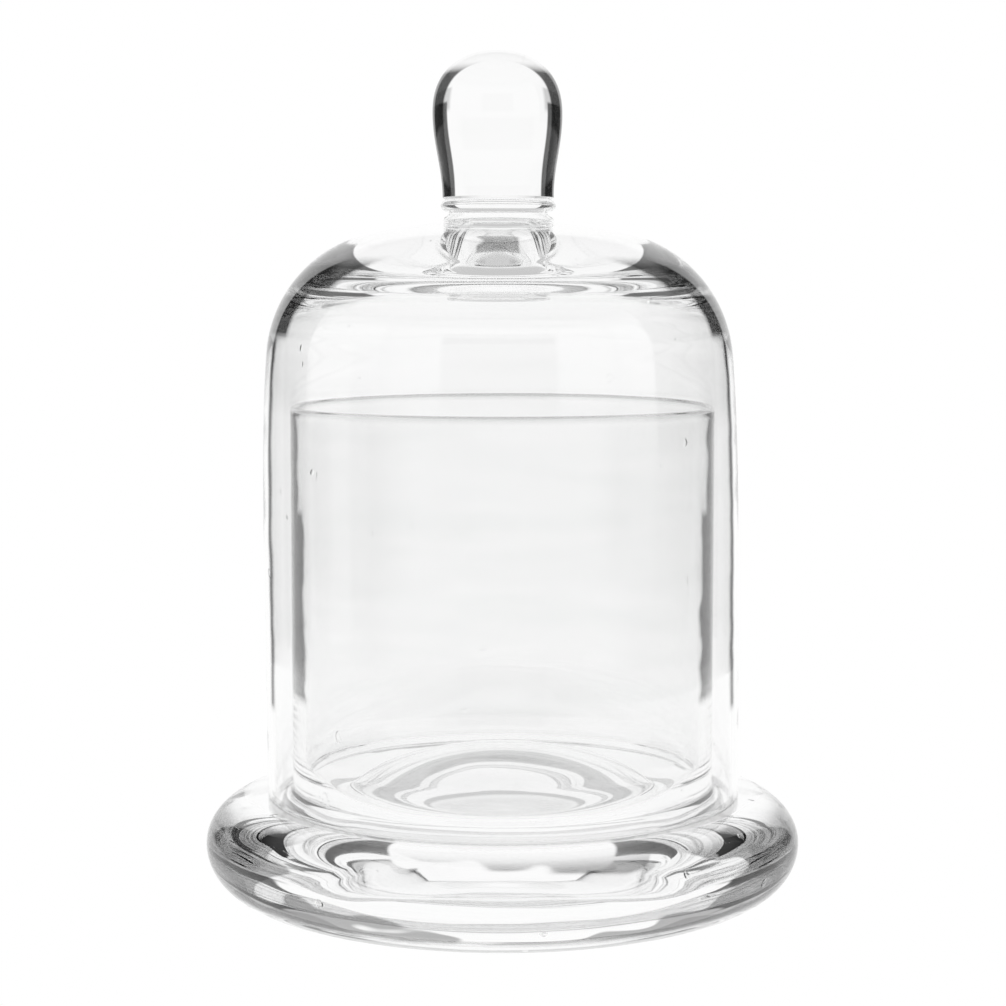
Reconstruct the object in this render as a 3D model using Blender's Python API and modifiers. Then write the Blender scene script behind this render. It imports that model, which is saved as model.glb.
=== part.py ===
"""Glass bell jar: a loose domed cover with a solid knob, standing over an open cup on a thick round foot.

Run it in Blender 4.5 with: blender --background --python part.py
Metres, +Z up, origin at the centre of the foot's underside. Every piece is clear glass turned about Z:

    holder   foot, cup                         one fused piece of glass that stands still
    cover    dome_shell, knob_collar, knob     one fused piece of glass that lifts straight up

An outline is a list of (radius, height) points. It starts on the axis, runs out and down the outer side
of its piece, and ends on the axis again. Heights are counted from the piece's own lowest plane.
"""

import math

import bpy

SEGMENTS = 48          # facets round the axis
MERGE_DISTANCE = 1e-5
JOINT_GAP = 0.0003     # between two pieces that touch
EDGE_STEPS = 7         # facets across the foot's edge, above and below its widest point
RIM_STEPS = 4
CORNER_STEPS = 6
BOWL_STEPS = 7         # between the cup's floor and its wall
PUSH_UP_STEPS = 6
FILLET_STEPS = 5
BEAD_STEPS = 5
DOME_STEPS = (4, 8)    # across the crown, then round the shoulder
CEILING_STEPS = (3, 7)
KNOB_CAP_STEPS = 8     # above the knob's widest point
KNOB_WAIST_STEPS = 7   # below it

# Foot: a thick disc with a rounded edge, hollowed a little underneath so that it stands on a ring.
FOOT_RADIUS = 0.0508
FOOT_HEIGHT = 0.01625
FOOT_WIDEST_HEIGHT = 0.0085
FOOT_FLAT_RADIUS = 0.0414        # where the rounded edge starts, above and below
UNDERSIDE_HOLLOW_RADIUS = 0.0235
UNDERSIDE_HOLLOW_DEPTH = 0.0008
UNDERSIDE_HOLLOW_SLOPE = 0.0020
FILLET_RADIUS = 0.0034           # where the foot sweeps up to the cup's wall
FILLET_SWEEP = 72.0              # degrees; the full 90 would end in a knife edge

# Cup: a straight glass whose wall thickens downwards, with a round corner inside and out. Its floor is pushed
# up in the middle.
CUP_RADIUS = 0.0360
CUP_BASE_HEIGHT = 0.0120         # the cup's underside, sunk in the foot
CUP_RIM_HEIGHT = 0.0826
CUP_CORNER_RADIUS = 0.0080
CUP_RIM_WALL = 0.0011
CUP_FOOT_WALL = 0.0020
CUP_FLOOR_THICKNESS = 0.0035     # round the push-up, where the floor is lowest
CUP_PUSH_UP_RADIUS = 0.0270
CUP_PUSH_UP_HEIGHT = 0.0100
CUP_BOWL_DEPTH = 0.0085          # height of the curve between floor and wall

# Dome: a shallow crown, a rounded shoulder, a slight taper, then a straight skirt.
SKIRT_RADIUS = 0.0404
SKIRT_WALL = 0.0012
CROWN_RADIUS = 0.0995
CROWN_HEIGHT = 0.0979            # from the rim to the crown's highest point, under the collar
SHOULDER_RADIUS = 0.0224
SHOULDER_CENTRE = 0.0171         # the shoulder arc's centre, from the axis
TAPER_ANGLE = 4.7                # degrees from the vertical
CEILING_RADIUS = 0.090
CEILING_HEIGHT = 0.0925          # from the rim to the middle of the ceiling
CEILING_CORNER_RADIUS = 0.0110
CEILING_CORNER_CENTRE = 0.0275
INNER_TAPER_ANGLE = 3.6

# Knob and the ringed collar that joins it to the crown.
COLLAR_SEAT_RADIUS = 0.0099
COLLAR_SEAT_DEPTH = 0.0002       # of the flat seat below the edge of the crown round it
COLLAR_HEIGHT = 0.0036
COLLAR_BASE_RADIUS = 0.0094
COLLAR_BASE_HEIGHT = 0.0006      # of the plain band under the groove
COLLAR_GROOVE_RADIUS = 0.0083
COLLAR_GROOVE_HEIGHT = 0.0013
COLLAR_BEAD_RADIUS = 0.00975
COLLAR_BEAD_HEIGHT = 0.0024
COLLAR_BEAD_SWEEP = -75.0        # degrees; the bead's arc stops here, where it meets the groove
KNOB_RADIUS = 0.01095
KNOB_NECK_RADIUS = 0.0094
KNOB_HEIGHT = 0.0243
KNOB_WIDEST_HEIGHT = 0.0138
KNOB_FULLNESS = 2.3              # 2 is an ellipse, more is squarer

GLASS_COLOUR = (0.96, 0.97, 0.97, 1.0)
GLASS_ROUGHNESS = 0.02
GLASS_METALLIC = 0.0
GLASS_IOR = 1.52

CUP_SEAT_HEIGHT = CUP_BASE_HEIGHT - JOINT_GAP
COVER_HEIGHT = FOOT_HEIGHT + JOINT_GAP


def arc(centre, radii, start, end, steps):
    """Points on an ellipse about centre, from one angle to another. 0 degrees is outwards and 90 is up."""
    angles = [math.radians(start + (end - start) * i / steps) for i in range(steps + 1)]
    return [(centre[0] + radii[0] * math.cos(a), centre[1] + radii[1] * math.sin(a)) for a in angles]


def round_arc(centre, radius, start, end, steps):
    return arc(centre, (radius, radius), start, end, steps)


def domed_end(crown, crown_top, corner, corner_centre, inner_edge, last_angle, steps):
    """A shallow crown about the axis that runs smoothly into a corner of smaller radius, from inner_edge
    outwards. The corner stops last_angle degrees short of upright. steps is (crown steps, corner steps)."""
    crown_centre = crown_top - crown
    rise = math.sqrt((crown - corner) ** 2 - corner_centre**2)
    meeting = math.degrees(math.atan2(rise, corner_centre))
    first = math.degrees(math.acos(inner_edge / crown))
    top = round_arc((0.0, crown_centre), crown, first, meeting, steps[0])
    side = round_arc((corner_centre, crown_centre + rise), corner, meeting, last_angle, steps[1])
    return top + side[1:]


def tapered_to(point, radius, angle):
    """Where a line that leaves point downwards, angle degrees outside the vertical, reaches radius."""
    return (radius, point[1] - (radius - point[0]) / math.tan(math.radians(angle)))


def foot_outline():
    corner = (CUP_RADIUS - CUP_CORNER_RADIUS, CUP_BASE_HEIGHT + CUP_CORNER_RADIUS)
    recess_radius = CUP_CORNER_RADIUS + JOINT_GAP
    fillet_centre = (CUP_RADIUS + JOINT_GAP + FILLET_RADIUS, FOOT_HEIGHT + FILLET_RADIUS)
    fillet = round_arc(fillet_centre, FILLET_RADIUS, 270.0 - FILLET_SWEEP, 270.0, FILLET_STEPS)
    lip_angle = math.degrees(math.asin((fillet[0][1] - corner[1]) / recess_radius))
    edge_width = FOOT_RADIUS - FOOT_FLAT_RADIUS
    edge_centre = (FOOT_FLAT_RADIUS, FOOT_WIDEST_HEIGHT)
    upper_edge = arc(edge_centre, (edge_width, FOOT_HEIGHT - FOOT_WIDEST_HEIGHT), 90.0, 0.0, EDGE_STEPS)
    lower_edge = arc(edge_centre, (edge_width, FOOT_WIDEST_HEIGHT), 0.0, -90.0, EDGE_STEPS)
    return [
        (0.0, CUP_SEAT_HEIGHT),
        *round_arc(corner, recess_radius, -90.0, lip_angle, CORNER_STEPS),
        *fillet,
        *upper_edge,
        *lower_edge[1:],
        (UNDERSIDE_HOLLOW_RADIUS, 0.0),
        (UNDERSIDE_HOLLOW_RADIUS - UNDERSIDE_HOLLOW_SLOPE, UNDERSIDE_HOLLOW_DEPTH),
        (0.0, UNDERSIDE_HOLLOW_DEPTH),
    ]


def cup_outline():
    height = CUP_RIM_HEIGHT - CUP_BASE_HEIGHT
    inside_foot = CUP_RADIUS - CUP_FOOT_WALL
    bowl_centre = (CUP_PUSH_UP_RADIUS, CUP_FLOOR_THICKNESS + CUP_BOWL_DEPTH)
    bowl = arc(bowl_centre, (inside_foot - CUP_PUSH_UP_RADIUS, CUP_BOWL_DEPTH), -90.0, 0.0, BOWL_STEPS)
    push_up = []
    for i in range(PUSH_UP_STEPS):
        share = i / PUSH_UP_STEPS
        height_here = CUP_FLOOR_THICKNESS + CUP_PUSH_UP_HEIGHT * (1.0 - share**2)
        push_up.append((CUP_PUSH_UP_RADIUS * share, height_here))
    rim_radius = CUP_RIM_WALL / 2
    rim_centre = (CUP_RADIUS - rim_radius, height - rim_radius)
    corner_centre = (CUP_RADIUS - CUP_CORNER_RADIUS, CUP_CORNER_RADIUS)
    return [
        *push_up,
        *bowl,
        *round_arc(rim_centre, rim_radius, 180.0, 0.0, RIM_STEPS),
        *round_arc(corner_centre, CUP_CORNER_RADIUS, 0.0, -90.0, CORNER_STEPS),
        (0.0, 0.0),
    ]


def collar_seat_height():
    """Height above the rim of the flat on the crown that the collar stands on."""
    fall = CROWN_RADIUS - math.sqrt(CROWN_RADIUS**2 - COLLAR_SEAT_RADIUS**2)
    return CROWN_HEIGHT - fall - COLLAR_SEAT_DEPTH


def dome_shell_outline():
    outer = domed_end(
        CROWN_RADIUS,
        CROWN_HEIGHT,
        SHOULDER_RADIUS,
        SHOULDER_CENTRE,
        COLLAR_SEAT_RADIUS,
        TAPER_ANGLE,
        DOME_STEPS,
    )
    inner = domed_end(
        CEILING_RADIUS,
        CEILING_HEIGHT,
        CEILING_CORNER_RADIUS,
        CEILING_CORNER_CENTRE,
        0.0,
        INNER_TAPER_ANGLE,
        CEILING_STEPS,
    )
    inside = SKIRT_RADIUS - SKIRT_WALL
    rim_radius = SKIRT_WALL / 2
    rim = round_arc((SKIRT_RADIUS - rim_radius, rim_radius), rim_radius, 0.0, -180.0, RIM_STEPS)
    return [
        (0.0, collar_seat_height()),
        (COLLAR_SEAT_RADIUS, collar_seat_height()),
        *outer,
        tapered_to(outer[-1], SKIRT_RADIUS, TAPER_ANGLE),
        *rim,
        tapered_to(inner[-1], inside, INNER_TAPER_ANGLE),
        *reversed(inner),
    ]


def knob_collar_outline():
    """A bead over a groove, standing on a plain band."""
    bead_centre = (COLLAR_GROOVE_RADIUS, COLLAR_BEAD_HEIGHT)
    bead_size = (COLLAR_BEAD_RADIUS - COLLAR_GROOVE_RADIUS, COLLAR_HEIGHT - COLLAR_BEAD_HEIGHT)
    return [
        (0.0, COLLAR_HEIGHT),
        *arc(bead_centre, bead_size, 90.0, COLLAR_BEAD_SWEEP, BEAD_STEPS),
        (COLLAR_GROOVE_RADIUS, COLLAR_GROOVE_HEIGHT),
        (COLLAR_BASE_RADIUS, COLLAR_BASE_HEIGHT),
        (COLLAR_BASE_RADIUS, 0.0),
        (0.0, 0.0),
    ]


def knob_outline():
    """A superellipse over the widest point, and a cosine sweep from there down to the neck."""
    cap_rise = KNOB_HEIGHT - KNOB_WIDEST_HEIGHT
    cap = []
    for i in range(KNOB_CAP_STEPS + 1):
        share = math.cos(math.radians(90.0 * i / KNOB_CAP_STEPS))
        height = KNOB_WIDEST_HEIGHT + cap_rise * share
        radius = KNOB_RADIUS * max(0.0, 1.0 - share**KNOB_FULLNESS) ** (1.0 / KNOB_FULLNESS)
        cap.append((radius, height))
    waist = []
    for i in range(1, KNOB_WAIST_STEPS + 1):
        share = i / KNOB_WAIST_STEPS
        swell = 0.5 + 0.5 * math.cos(math.pi * share)
        radius = KNOB_NECK_RADIUS + (KNOB_RADIUS - KNOB_NECK_RADIUS) * swell
        waist.append((radius, KNOB_WIDEST_HEIGHT * (1.0 - share)))
    return [*cap, *waist, (0.0, 0.0)]


def glass(name):
    """Clear glass. Each piece has its own, so that one can be tinted without the others."""
    material = bpy.data.materials.new(name + "_glass")
    material.use_nodes = True
    shader = material.node_tree.nodes["Principled BSDF"]
    shader.inputs["Base Color"].default_value = GLASS_COLOUR
    shader.inputs["Roughness"].default_value = GLASS_ROUGHNESS
    shader.inputs["Metallic"].default_value = GLASS_METALLIC
    shader.inputs["IOR"].default_value = GLASS_IOR
    shader.inputs["Transmission Weight"].default_value = 1.0
    return material


def turned(name, outline, height, body, collection):
    """A solid of revolution: the outline swept round Z, standing at height above its body's origin."""
    mesh = bpy.data.meshes.new(name)
    edges = [(i, i + 1) for i in range(len(outline) - 1)]
    mesh.from_pydata([(radius, 0.0, z) for radius, z in outline], edges, [])
    mesh.materials.append(glass(name))
    piece = bpy.data.objects.new(name, mesh)
    collection.objects.link(piece)
    piece.parent = body
    piece.location = (0.0, 0.0, height)
    screw = piece.modifiers.new("Turn", "SCREW")
    screw.axis = "Z"
    screw.angle = math.tau
    screw.steps = screw.render_steps = SEGMENTS
    screw.use_merge_vertices = True
    screw.merge_threshold = MERGE_DISTANCE
    screw.use_smooth_shade = True
    return piece


def body_empty(name, height, collection):
    """The parent of the pieces that move together, on the jar's axis."""
    empty = bpy.data.objects.new(name, None)
    empty.location = (0.0, 0.0, height)
    empty.empty_display_size = 0.02
    collection.objects.link(empty)
    return empty


def clear_scene():
    for old in list(bpy.data.objects):
        bpy.data.objects.remove(old, do_unlink=True)


def build():
    clear_scene()
    jar = bpy.data.collections.new("bell_jar")
    bpy.context.scene.collection.children.link(jar)
    holder = body_empty("holder", 0.0, jar)
    cover = body_empty("cover", COVER_HEIGHT, jar)
    collar_height = collar_seat_height() + JOINT_GAP
    knob_height = collar_height + COLLAR_HEIGHT + JOINT_GAP
    turned("foot", foot_outline(), 0.0, holder, jar)
    turned("cup", cup_outline(), CUP_BASE_HEIGHT, holder, jar)
    turned("dome_shell", dome_shell_outline(), 0.0, cover, jar)
    turned("knob_collar", knob_collar_outline(), collar_height, cover, jar)
    turned("knob", knob_outline(), knob_height, cover, jar)


build()
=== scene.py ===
"""Looks of the glass bell jar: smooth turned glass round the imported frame, on a white light table.

The jar is two loose items. The holder is a foot and a cup in one piece of glass, and the cover is a dome,
a collar and a knob in one piece of glass. Each is made here as separate closed meshes that meet face to
face. The faces where they meet have a material of their own that lets light straight through, so that a
ray crosses a joint as it crosses fused glass.
"""

import math

import bpy
import numpy as np
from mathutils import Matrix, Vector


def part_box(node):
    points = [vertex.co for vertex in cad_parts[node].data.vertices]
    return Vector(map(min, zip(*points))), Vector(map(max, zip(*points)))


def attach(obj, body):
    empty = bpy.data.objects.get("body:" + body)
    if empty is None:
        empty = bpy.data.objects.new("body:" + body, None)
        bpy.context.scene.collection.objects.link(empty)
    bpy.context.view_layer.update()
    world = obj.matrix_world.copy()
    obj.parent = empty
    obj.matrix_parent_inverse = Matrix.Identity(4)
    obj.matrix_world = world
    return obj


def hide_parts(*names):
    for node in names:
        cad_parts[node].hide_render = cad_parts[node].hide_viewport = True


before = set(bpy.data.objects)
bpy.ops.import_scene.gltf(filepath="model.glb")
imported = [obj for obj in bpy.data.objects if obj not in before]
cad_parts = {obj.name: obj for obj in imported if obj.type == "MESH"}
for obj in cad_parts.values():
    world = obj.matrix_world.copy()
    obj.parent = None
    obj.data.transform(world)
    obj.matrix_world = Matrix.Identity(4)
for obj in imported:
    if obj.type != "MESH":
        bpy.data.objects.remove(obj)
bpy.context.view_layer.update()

# Driving sizes, in metres. Those that the frame has are taken from it.

foot_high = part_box("foot")[1]
cup_low, cup_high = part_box("cup")
dome_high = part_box("dome_shell")[1]
collar_low, collar_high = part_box("knob_collar")
knob_low, knob_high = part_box("knob")

FOOT_RADIUS = foot_high.x
FOOT_TOP = 0.01625                      # its flat shoulder, from which the fillet rises to the cup
FOOT_FLAT_RADIUS = 0.0414               # the rounded edge begins here, above and below
FOOT_WIDEST = 0.0085                    # height at which the edge is widest
HOLLOW_RADIUS, HOLLOW_DEPTH = 0.0245, 0.0008
FILLET = 0.0034

CUP_RADIUS = cup_high.x
CUP_BASE, CUP_RIM = cup_low.z, cup_high.z
CUP_CORNER = 0.0080                     # outer corner, which is fused to the foot
CUP_FLOOR = 0.0035                      # thickness at the lowest part of the floor
CUP_BOWL = 0.0085                       # height of the inner corner
CUP_WALL_FOOT, CUP_WALL_RIM = 0.0020, 0.0011
PUSH_RADIUS, PUSH_RISE, PUSH_FULLNESS = 0.0270, 0.0080, 1.2
JOINT_TOP = FOOT_TOP + FILLET

COVER_REST = FOOT_TOP + 0.00002         # height of the cover's rim
CROWN, CROWN_TOP = 0.0995, COVER_REST + 0.0979
SHOULDER, SHOULDER_CENTRE = 0.0224, 0.0171
CEILING, CEILING_TOP = 0.0900, COVER_REST + 0.0925
CEILING_CORNER, CEILING_CORNER_CENTRE = 0.0110, 0.0275
DOME_TAPER, INNER_TAPER = 4.7, 3.6      # degrees from upright
EASE = 0.0200                           # length over which a taper runs out into the upright skirt
SKIRT_RADIUS, SKIRT_WALL = dome_high.x, 0.0012
SEAT_RADIUS, CROWN_EDGE = 0.0094, 0.0099        # the collar's seat, and the crown's inner edge beside it
LEAN, LEAN_START = -0.0085, 0.00015     # the cover isn't quite upright: sideways per height, and at its rim

COLLAR_BASE = collar_low.z - 0.00015
COLLAR_TOP = (collar_high.z + knob_low.z) / 2
GROOVE_RADIUS, BEAD_RADIUS, NECK_RADIUS = 0.0083, 0.00975, 0.0094

KNOB_RADIUS, KNOB_TOP = knob_high.x, knob_high.z
KNOB_CAP = 0.0105                       # height of its rounded end, from the widest part up
KNOB_FULLNESS = 2.3                     # 2 would be an ellipse, and more is squarer

SEGMENTS = 256                          # facets round the axis
SAME_POINT = 1e-7
FREE, JOINT, INNER = 0, 1, 2            # material slots: outer face, face fused to the next piece, inner face


# Outlines. An outline is a list of stretches, each (material slot, [(radius, height), ...]).


def arc(centre, radii, start, end, steps):
    """Points on an ellipse about centre. 0 degrees is outwards and 90 is up."""
    angles = np.radians(np.linspace(start, end, steps + 1))
    return [(centre[0] + radii[0] * math.cos(a), centre[1] + radii[1] * math.sin(a)) for a in angles]


def round_arc(centre, radius, start, end, steps):
    return arc(centre, (radius, radius), start, end, steps)


def straight(start, end, steps):
    """Points from start to end, both included."""
    return [
        (start[0] + (end[0] - start[0]) * i / steps, start[1] + (end[1] - start[1]) * i / steps)
        for i in range(steps + 1)
    ]


def eased(start, corner, end, steps):
    """A curve from start to end that leaves and arrives along the lines to corner."""
    points = []
    for t in np.linspace(0.0, 1.0, steps + 1):
        points.append(
            tuple((1 - t) ** 2 * start[i] + 2 * t * (1 - t) * corner[i] + t**2 * end[i] for i in (0, 1))
        )
    return points


def domed_end(crown, crown_top, corner, corner_centre, inner_edge, last_angle, steps=(20, 40)):
    """A shallow crown about the axis that runs into a corner of smaller radius, from inner_edge outwards."""
    crown_centre = crown_top - crown
    rise = math.sqrt((crown - corner) ** 2 - corner_centre**2)
    meeting = math.degrees(math.atan2(rise, corner_centre))
    first = math.degrees(math.acos(inner_edge / crown))
    top = round_arc((0.0, crown_centre), crown, first, meeting, steps[0])
    side = round_arc((corner_centre, crown_centre + rise), corner, meeting, last_angle, steps[1])
    return top + side[1:]


def tapered_to(point, radius, angle):
    """Where a line from point, angle degrees from upright, reaches radius."""
    return (radius, point[1] - (radius - point[0]) / math.tan(math.radians(angle)))


def cup_joint(steps=24):
    """Where cup and foot are fused: the cup's underside and round corner, from the axis outwards."""
    centre = (CUP_RADIUS - CUP_CORNER, CUP_BASE + CUP_CORNER)
    lip = math.degrees(math.asin((JOINT_TOP - centre[1]) / CUP_CORNER))
    corner = round_arc(centre, CUP_CORNER, -90.0, lip, steps)
    return straight((0.0, CUP_BASE), corner[0], 10)[:-1] + corner


def foot_hollow(steps=16):
    """The hollow underneath, from its edge to the axis. Its rise takes a quarter of the way."""
    points = []
    for i in range(steps + 1):
        rise = math.sin(math.radians(90.0 * min(1.0, 4 * i / steps))) ** 2
        points.append((HOLLOW_RADIUS * (1 - i / steps), HOLLOW_DEPTH * rise))
    return points


def foot_outline():
    width = FOOT_RADIUS - FOOT_FLAT_RADIUS
    edge_centre = (FOOT_FLAT_RADIUS, FOOT_WIDEST)
    joint = cup_joint()
    fillet = round_arc((joint[-1][0] + FILLET, JOINT_TOP), FILLET, 180.0, 270.0, 20)
    upper = arc(edge_centre, (width, FOOT_TOP - FOOT_WIDEST), 90.0, 0.0, 40)
    lower = arc(edge_centre, (width, FOOT_WIDEST), 0.0, -90.0, 40)
    hollow = foot_hollow()
    ground = straight(lower[-1], hollow[0], 10)
    return [
        (JOINT, joint),
        (FREE, [*fillet, *upper, *lower[1:], *ground[1:], *hollow[1:]]),
    ]


def cup_outline():
    floor_height = CUP_BASE + CUP_FLOOR
    corner_width = CUP_RADIUS - CUP_WALL_FOOT - PUSH_RADIUS
    corner = arc((PUSH_RADIUS, floor_height + CUP_BOWL), (corner_width, CUP_BOWL), -90.0, 0.0, 30)
    rim_radius = CUP_WALL_RIM / 2
    rim = round_arc((CUP_RADIUS - rim_radius, CUP_RIM - rim_radius), rim_radius, 180.0, 0.0, 12)
    floor = [
        (PUSH_RADIUS * math.sin(a), floor_height + PUSH_RISE * math.cos(a) ** PUSH_FULLNESS)
        for a in np.linspace(0.0, math.pi / 2, 33)
    ]
    inside = straight(corner[-1], rim[0], 34)
    joint = cup_joint()
    outside = straight(rim[-1], joint[-1], 34)
    return [
        (INNER, [*floor, *corner[1:], *inside[1:]]),
        (FREE, [inside[-1], *rim[1:], *outside[1:]]),
        (JOINT, joint[::-1]),
    ]


def dome_outline():
    outer = domed_end(CROWN, CROWN_TOP, SHOULDER, SHOULDER_CENTRE, CROWN_EDGE, DOME_TAPER)
    ceiling = domed_end(CEILING, CEILING_TOP, CEILING_CORNER, CEILING_CORNER_CENTRE, 0.0, INNER_TAPER)
    inner_radius = SKIRT_RADIUS - SKIRT_WALL
    rim_radius = SKIRT_WALL / 2
    rim = round_arc((SKIRT_RADIUS - rim_radius, COVER_REST + rim_radius), rim_radius, 0.0, -180.0, 12)
    outer_end = tapered_to(outer[-1], SKIRT_RADIUS, DOME_TAPER)
    inner_end = tapered_to(ceiling[-1], inner_radius, INNER_TAPER)
    upright = (SKIRT_RADIUS, outer_end[1] - EASE)
    inner_upright = (inner_radius, inner_end[1] - EASE)
    skirt = eased(outer[-1], outer_end, upright, 24)[1:] + straight(upright, rim[0], 30)[1:]
    inner = straight(rim[-1], inner_upright, 30)[1:] + eased(inner_upright, inner_end, ceiling[-1], 24)[1:]
    seat = straight((0.0, COLLAR_BASE), (SEAT_RADIUS, COLLAR_BASE), 6)
    return [
        (JOINT, seat),
        (FREE, [seat[-1], *outer, *skirt, *rim[1:]]),
        (INNER, [rim[-1], *inner, *ceiling[::-1][1:]]),
    ]


def collar_outline():
    """From the top down: a bead, a groove and a band that flares a little to its seat on the crown."""
    height = COLLAR_TOP - COLLAR_BASE
    top = straight((0.0, COLLAR_TOP), (NECK_RADIUS, COLLAR_TOP), 6)
    bead_centre = (GROOVE_RADIUS, COLLAR_BASE + 0.66 * height)
    bead = arc(bead_centre, (BEAD_RADIUS - GROOVE_RADIUS, 0.28 * height), 62.0, -80.0, 20)
    groove = [
        (GROOVE_RADIUS, COLLAR_BASE + 0.34 * height),
        (GROOVE_RADIUS + 0.0002, COLLAR_BASE + 0.24 * height),
    ]
    band = [(SEAT_RADIUS - 0.0002, COLLAR_BASE + 0.13 * height), (SEAT_RADIUS, COLLAR_BASE)]
    bottom = straight(band[-1], (0.0, COLLAR_BASE), 6)
    return [(JOINT, top), (FREE, [top[-1], *bead, *groove, *band]), (JOINT, bottom)]


def knob_outline():
    widest = KNOB_TOP - KNOB_CAP
    cap = []
    for angle in np.radians(np.linspace(0.0, 90.0, 41)):
        share = math.cos(angle)
        radius = KNOB_RADIUS * max(0.0, 1 - share**KNOB_FULLNESS) ** (1 / KNOB_FULLNESS)
        cap.append((radius, widest + KNOB_CAP * share))
    waist = []
    for share in np.linspace(0.0, 1.0, 31)[1:]:
        swell = 0.5 + 0.5 * math.cos(math.pi * share)
        radius = NECK_RADIUS + (KNOB_RADIUS - NECK_RADIUS) * swell
        waist.append((radius, widest + (COLLAR_TOP - widest) * share))
    return [(FREE, [*cap, *waist]), (JOINT, straight(waist[-1], (0.0, COLLAR_TOP), 6))]


# Meshes.


def joined(outline):
    """The outline's points in one list, and the material slot of each stretch between two of them."""
    points, slots = [], []
    for slot_index, stretch in outline:
        for point in stretch:
            if points and math.dist(points[-1], point) < SAME_POINT:
                continue
            if points:
                slots.append(slot_index)
            points.append(point)
    return points, slots


def turned(slot, outline, body, materials):
    """A closed mesh of revolution. Neighbouring stretches share their end points."""
    points, slots = joined(outline)
    turns = np.linspace(0.0, math.tau, SEGMENTS, endpoint=False)
    cos, sin = np.cos(turns), np.sin(turns)
    vertices, rings = [], []
    for radius, height in points:
        first = len(vertices)
        lean = LEAN_START + LEAN * (height - COVER_REST) if body == "cover" else 0.0
        if radius < SAME_POINT:
            vertices.append((lean, 0.0, height))
            rings.append([first] * SEGMENTS)
        else:
            vertices += [(radius * c + lean, radius * s, height) for c, s in zip(cos, sin)]
            rings.append(list(range(first, first + SEGMENTS)))
    faces, face_slots = [], []
    for upper, lower, slot_index in zip(rings[:-1], rings[1:], slots):
        for i in range(SEGMENTS):
            j = (i + 1) % SEGMENTS
            corners = [upper[i], lower[i], lower[j], upper[j]]
            faces.append(list(dict.fromkeys(corners)))
            face_slots.append(slot_index)
    mesh = bpy.data.meshes.new(slot)
    mesh.from_pydata(vertices, [], faces)
    mesh.polygons.foreach_set("material_index", face_slots)
    for material in materials:
        mesh.materials.append(material)
    mesh.shade_smooth()
    mesh.set_sharp_from_angle(angle=math.radians(40.0))
    mesh.update()
    piece = bpy.data.objects.new(slot, mesh)
    bpy.context.scene.collection.objects.link(piece)
    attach(piece, body)
    return piece


# Materials.

GLASS_INDEX = {     # how strongly each bends light, chosen so that its dark patches fall as in the photo
    "foot_glass": 1.5,
    "cup_glass": 1.5,
    "dome_glass": 1.56,
    "collar_glass": 1.4,
    "knob_glass": 1.38,
}

WAVES = {       # left by working the hot glass: their height, and their lengths round and along the axis
    "foot_glass": (0.00014, 0.018, 0.005),
    "cup_glass": (0.000014, 0.011, 0.006),
    "dome_glass": (0.000016, 0.012, 0.006),
    "collar_glass": (0.000012, 0.010, 0.004),
    "knob_glass": (0.000010, 0.010, 0.007),
}

TINTS = {       # between streaks and in them
    "foot_glass": ((0.990, 0.990, 0.990), (0.972, 0.975, 0.974)),
    "cup_glass": ((0.976, 0.976, 0.976), (0.962, 0.964, 0.963)),
    "dome_glass": ((0.990, 0.990, 0.990), (0.978, 0.980, 0.979)),
    "collar_glass": ((0.990, 0.990, 0.990), (0.972, 0.975, 0.974)),
    "knob_glass": ((0.975, 0.975, 0.975), (0.962, 0.964, 0.963)),
}

# Painted shade: the glass's base colour is greyed where it is seen nearly edge on, standing in for the dark
# surroundings that thick glass shows at its edges. For each such painted dark rim: how edge on, where 0 is
# face on and 1 is edge on, between which heights, and the grey that is left. A number out of that range is no
# limit.
PAINTED_DARK_RIMS = {
    "foot_glass": [
        ((0.38, 2), (0.0030, 0.0150), 0.20),
        ((0.58, 0.86), (0.0030, 0.0140), 0.10),
    ],
    "cup_glass": [
        ((0.74, 1.2), (0.0440, 0.0815), 0.006),
        ((0.66, 1.0), (0.0345, 0.0660), 0.010),
        # painted shade: a grey band over the cup's upper part, at every angle
        ((-1, 2), (0.0820, 0.1), 0.45),
    ],
    "dome_glass": [
        ((0.50, 1.2), (0.1020, 0.1068), 0.010),
        ((0.61, 1.2), (0.0945, 0.1020), 0.010),
        ((0.735, 0.80), (0.0330, 0.0945), 0.006),
    ],
    "collar_glass": [],
    "knob_glass": [((0.45, 1.2), (0.1165, 0.1390), 0.012)],
}
PAINTED_RIM_SOFTNESS, PAINTED_RIM_FADE = 0.05, 0.002      # across the rim, and at its upper and lower end in metres

# How far the waves move the inner line of such a painted dark rim.
PAINTED_RIM_WANDER = {"foot_glass": 0.20, "cup_glass": 0.02, "dome_glass": 0.008, "collar_glass": 0.0, "knob_glass": 0.01}

PATTERN_PLACE = 35.0                        # where in the noise the first glass is cut, in waves
STREAK_LENGTHS = (0.030, 0.004)             # round and along the axis
FILM_LENGTH, FILM_ROUGHNESS = 0.003, 0.02   # the film left by hands
SEED_HEIGHT = 4.0                           # bubbles just under the surface, as a multiple of the waves


def smooth_range(tree, value, source, target):
    """value carried smoothly from the range source to the range target, and held at its ends."""
    node = tree.nodes.new("ShaderNodeMapRange")
    node.interpolation_type = "SMOOTHSTEP"
    for name, number in zip(("From Min", "From Max", "To Min", "To Max"), (*source, *target)):
        node.inputs[name].default_value = number
    tree.links.new(value, node.inputs["Value"])
    return node.outputs[0]


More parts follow.
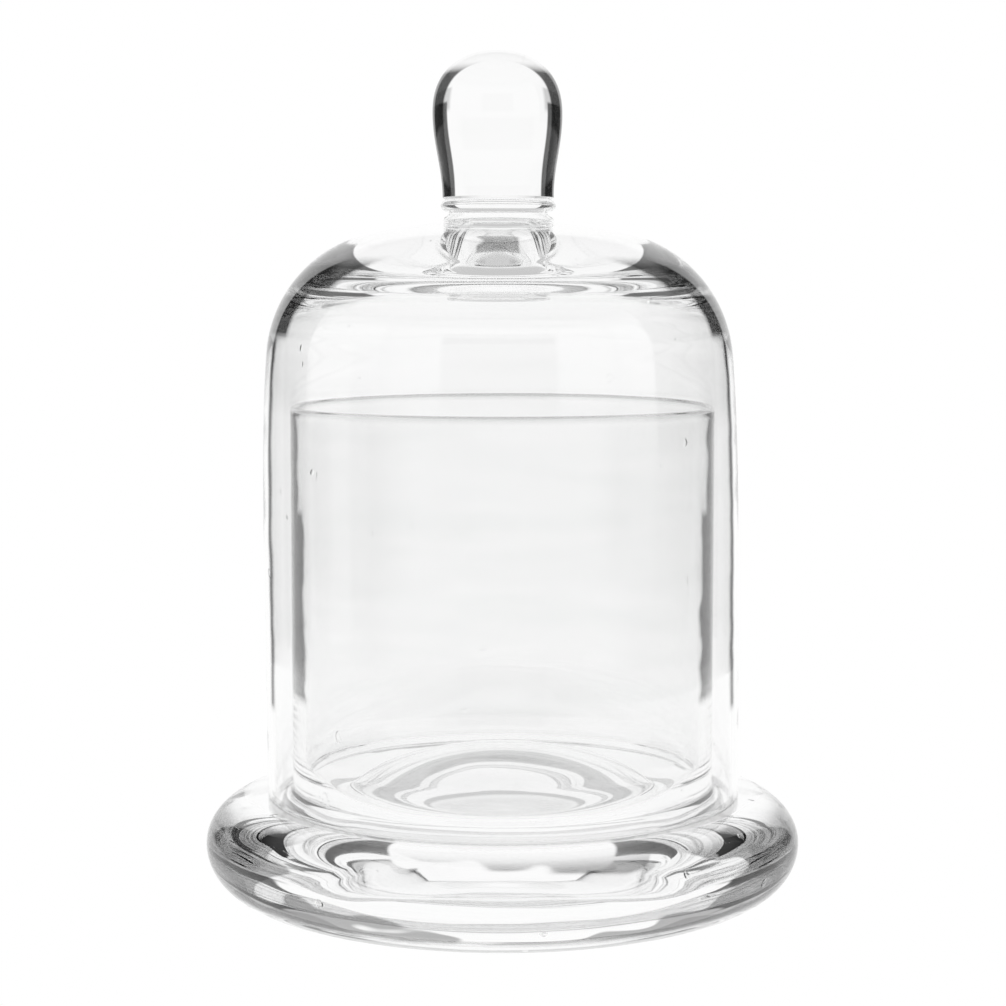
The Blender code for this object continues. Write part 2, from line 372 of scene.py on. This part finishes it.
class GlassNodes:
    """Writes a glass material's nodes. Lengths are metres on the piece."""

    def __init__(self, material):
        self.tree = material.node_tree
        self.shader = self.tree.nodes["Principled BSDF"]
        self.place = self.tree.nodes.new("ShaderNodeTexCoord").outputs["Object"]
        self.facing = self.tree.nodes.new("ShaderNodeLayerWeight").outputs["Facing"]
        split = self.tree.nodes.new("ShaderNodeSeparateXYZ")
        self.link(self.place, split.inputs[0])
        self.height = split.outputs["Z"]

    def link(self, output, socket):
        self.tree.links.new(output, socket)

    def noise(self, round_length, along_length, shift, detail):
        """Noise with waves of the two lengths."""
        stretch = self.tree.nodes.new("ShaderNodeMapping")
        stretch.inputs["Location"].default_value = (shift, 2.0 * shift, 3.0 * shift)
        stretch.inputs["Scale"].default_value = (1 / round_length, 1 / round_length, 1 / along_length)
        self.link(self.place, stretch.inputs["Vector"])
        node = self.tree.nodes.new("ShaderNodeTexNoise")
        node.inputs["Scale"].default_value = 1.0
        node.inputs["Detail"].default_value = detail
        self.link(stretch.outputs["Vector"], node.inputs["Vector"])
        return node.outputs["Fac"]

    def ranged(self, value, source, target):
        return smooth_range(self.tree, value, source, target)

    def combined(self, operation, first, second):
        node = self.tree.nodes.new("ShaderNodeMath")
        node.operation = operation
        self.link(first, node.inputs[0])
        self.link(second, node.inputs[1])
        return node.outputs[0]

    def between(self, value, low, high, soft):
        """1 between low and high, 0 outside."""
        rise = self.ranged(value, (low - soft / 2, low + soft / 2), (0.0, 1.0))
        fall = self.ranged(value, (high - soft / 2, high + soft / 2), (1.0, 0.0))
        return self.combined("MULTIPLY", rise, fall)

    def mixed(self, mask, under, over):
        """The colour under, and over where the mask is 1. Each is a constant or a node's output."""
        node = self.tree.nodes.new("ShaderNodeMix")
        node.data_type = "RGBA"
        self.link(mask, node.inputs["Factor"])
        colours = [socket for socket in node.inputs if socket.type == "RGBA"]
        for socket, colour in zip(colours, (under, over)):
            if isinstance(colour, tuple):
                socket.default_value = (*colour, 1.0)
            else:
                self.link(colour, socket)
        return next(socket for socket in node.outputs if socket.type == "RGBA")

    def bumped(self, height, distance):
        node = self.tree.nodes.new("ShaderNodeBump")
        node.inputs["Strength"].default_value = 1.0
        node.inputs["Distance"].default_value = distance
        self.link(height, node.inputs["Height"])
        return node.outputs["Normal"]


def clear_glass(glass, name, edges):
    """Polished glass: faint streaks, painted shade as grey rims where it is seen edge on, a film of handling,
    waves, and a few fine seeds.
    """
    material = bpy.data.materials.new(name)
    material.use_nodes = True
    nodes = GlassNodes(material)
    shader = nodes.shader
    wave_height, *wave_lengths = WAVES[glass]
    shift = PATTERN_PLACE + list(WAVES).index(glass)
    waves = nodes.noise(*wave_lengths, shift, 1.0)
    streaks = nodes.noise(*STREAK_LENGTHS, shift + 3.0, 1.0)
    film = nodes.noise(FILM_LENGTH, FILM_LENGTH, shift + 5.0, 0.0)

    between_streaks, in_streaks = TINTS[glass]
    tint_and_painted_shade = nodes.mixed(nodes.ranged(streaks, (0.35, 0.70), (0.0, 1.0)), between_streaks, in_streaks)
    painted_rim_wander = PAINTED_RIM_WANDER[glass]
    facing = nodes.combined("ADD", nodes.facing, nodes.ranged(waves, (0.30, 0.70), (-painted_rim_wander, painted_rim_wander)))
    # Painted shade: each rim greys the base colour where the glass is seen edge on, between the rim's
    # heights.
    for (near, far), (low, high), painted_grey in edges:
        across = nodes.between(facing, near, far, PAINTED_RIM_SOFTNESS)
        along = nodes.between(nodes.height, low, high, PAINTED_RIM_FADE)
        tint_and_painted_shade = nodes.mixed(nodes.combined("MULTIPLY", across, along), tint_and_painted_shade, (painted_grey, painted_grey, painted_grey))
    nodes.link(tint_and_painted_shade, shader.inputs["Base Color"])

    nodes.link(nodes.ranged(film, (0.45, 0.75), (0.0, FILM_ROUGHNESS)), shader.inputs["Roughness"])
    seeds = nodes.ranged(film, (0.86, 0.90), (0.0, SEED_HEIGHT))
    surface = nodes.combined("ADD", waves, seeds)
    nodes.link(nodes.bumped(surface, wave_height), shader.inputs["Normal"])
    shader.inputs["IOR"].default_value = GLASS_INDEX[glass]
    shader.inputs["Transmission Weight"].default_value = 1.0
    return material


def fused_joint():
    """Glass that runs on into the next piece: nothing to see."""
    material = bpy.data.materials.new("fused_joint")
    material.use_nodes = True
    nodes, links = material.node_tree.nodes, material.node_tree.links
    nodes.remove(nodes["Principled BSDF"])
    through = nodes.new("ShaderNodeBsdfTransparent")
    links.new(through.outputs["BSDF"], nodes["Material Output"].inputs["Surface"])
    return material


joint = fused_joint()
for slot, outline, body, node in (
    ("foot_glass", foot_outline(), "holder", "foot"),
    ("cup_glass", cup_outline(), "holder", "cup"),
    ("dome_glass", dome_outline(), "cover", "dome_shell"),
    ("collar_glass", collar_outline(), "cover", "knob_collar"),
    ("knob_glass", knob_outline(), "cover", "knob"),
):
    materials = [clear_glass(slot, slot, PAINTED_DARK_RIMS[slot]), joint]
    if any(slot_index == INNER for slot_index, stretch in outline):
        materials.append(clear_glass(slot, slot + "_inside", []))
    piece = turned(slot, outline, body, materials)
    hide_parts(node)


# Stage: a white light table, a world of soft boxes with dark gaps, and the camera.

TABLE_RADIUS, TABLE_HEIGHT, TABLE_SIDES = 0.26, -0.0001, 96

# What stands round the jar, each in front of those above it: how bright, where round the jar, and how high
# up. Places are (from, to, softness) in degrees. A turn is 0 behind the jar, + to the right and - to the
# left, and a side is a turn without its sign. None is no limit.
STUDIO = (
    (0.65, ("side", 29.0, None, 4.0), (-9.5, None, 2.0)),        # the room, seen low over the table
    (0.90, ("side", 120.0, None, 20.0), (-10.0, None, 3.0)),     # the room on the camera's side
    (1.0, ("side", None, 120.0, 2.0), (3.0, None, 3.0)),         # white screens behind and beside the jar
    (0.085, ("turn", 32.0, 100.0, 2.0), (-1.0, 45.0, 2.0)),      # dark gap on the right
    (0.085, ("turn", -74.0, -32.0, 2.0), (-1.0, 45.0, 2.0)),     # dark gap on the left
    (0.95, ("turn", -104.0, -76.0, 4.0), (-10.0, None, 4.0)),    # soft box on the left
    (0.60, ("side", None, None, 0.0), (34.0, None, 10.0)),       # ceiling
    (0.12, ("side", 152.0, None, 4.0), (3.0, 24.0, 3.0)),        # camera and photographer
)


def light_table():
    mesh = bpy.data.meshes.new("table")
    ring = []
    for i in range(TABLE_SIDES):
        angle = math.tau * i / TABLE_SIDES
        ring.append((TABLE_RADIUS * math.cos(angle), TABLE_RADIUS * math.sin(angle), TABLE_HEIGHT))
    mesh.from_pydata(ring, [], [list(range(TABLE_SIDES))])
    table = bpy.data.objects.new("table", mesh)
    bpy.context.scene.collection.objects.link(table)
    material = bpy.data.materials.new("table_white")
    material.use_nodes = True
    nodes, links = material.node_tree.nodes, material.node_tree.links
    nodes.remove(nodes["Principled BSDF"])
    glow = nodes.new("ShaderNodeEmission")
    glow.inputs["Color"].default_value = (1, 1, 1, 1)
    links.new(glow.outputs["Emission"], nodes["Material Output"].inputs["Surface"])
    mesh.materials.append(material)


class WorldNodes:
    """Writes the world's brightness with math nodes."""

    def __init__(self, tree):
        self.tree = tree

    def math(self, operation, *values):
        node = self.tree.nodes.new("ShaderNodeMath")
        node.operation = operation
        for socket, value in zip(node.inputs, values):
            if isinstance(value, float):
                socket.default_value = value
            else:
                self.tree.links.new(value, socket)
        return node.outputs[0]

    def within(self, value, low, high, soft):
        """1 between low and high and 0 outside, smooth across soft. Returns None where there is no limit."""
        edges = []
        for edge in (low, high):
            if edge is not None:
                edges.append(smooth_range(self.tree, value, (edge - soft / 2, edge + soft / 2), (0.0, 1.0)))
        if low is None:
            return self.math("SUBTRACT", 1.0, edges[0]) if edges else None
        return edges[0] if high is None else self.math("SUBTRACT", *edges)

    def paint(self, under, level, masks):
        """level where all the masks are 1, and under where any is 0."""
        mask = masks[0]
        for other in masks[1:]:
            mask = self.math("MULTIPLY", mask, other)
        node = self.tree.nodes.new("ShaderNodeMix")
        self.tree.links.new(mask, node.inputs["Factor"])
        if isinstance(under, float):
            node.inputs["A"].default_value = under
        else:
            self.tree.links.new(under, node.inputs["A"])
        node.inputs["B"].default_value = level
        return node.outputs["Result"]


def studio_world():
    """White all round, with what STUDIO lists painted on it."""
    world = bpy.data.worlds.new("studio")
    bpy.context.scene.world = world
    world.use_nodes = True
    tree = world.node_tree
    field = WorldNodes(tree)
    coordinates = tree.nodes.new("ShaderNodeTexCoord")
    split = tree.nodes.new("ShaderNodeSeparateXYZ")
    tree.links.new(coordinates.outputs["Generated"], split.inputs[0])
    x, y, z = split.outputs
    degrees = 180.0 / math.pi
    turn = field.math("MULTIPLY", field.math("ARCTAN2", x, y), degrees)
    up = field.math("MULTIPLY", field.math("ARCSINE", z), degrees)
    around = {"turn": turn, "side": field.math("ABSOLUTE", turn)}
    light = 1.0
    for level, (measure, *place), height in STUDIO:
        masks = [field.within(around[measure], *place), field.within(up, *height)]
        light = field.paint(light, level, [mask for mask in masks if mask is not None])
    background = tree.nodes["Background"]
    tree.links.new(light, background.inputs["Strength"])
    background.inputs["Color"].default_value = (1.0, 1.0, 1.0, 1.0)


def photo_camera():
    """Level with the cover's shoulder, 385 mm in front of the axis, looking slightly down."""
    camera = bpy.data.objects.new("camera", bpy.data.cameras.new("camera"))
    bpy.context.scene.collection.objects.link(camera)
    camera.location = (0.0001, -0.385, 0.1003)
    camera.rotation_euler = (math.radians(90.0 - 5.08), 0.0, 0.0)
    camera.data.lens = 80.95
    camera.data.sensor_width = 36.0
    camera.data.clip_start = 0.01
    bpy.context.scene.camera = camera


light_table()
studio_world()
photo_camera()

# Light crosses many glass faces, and each fused joint is crossed as two transparent ones.
scene = bpy.context.scene
scene.view_settings.view_transform = "Standard"
scene.cycles.max_bounces = 48
scene.cycles.transmission_bounces = 48
scene.cycles.glossy_bounces = 48
scene.cycles.transparent_max_bounces = 64
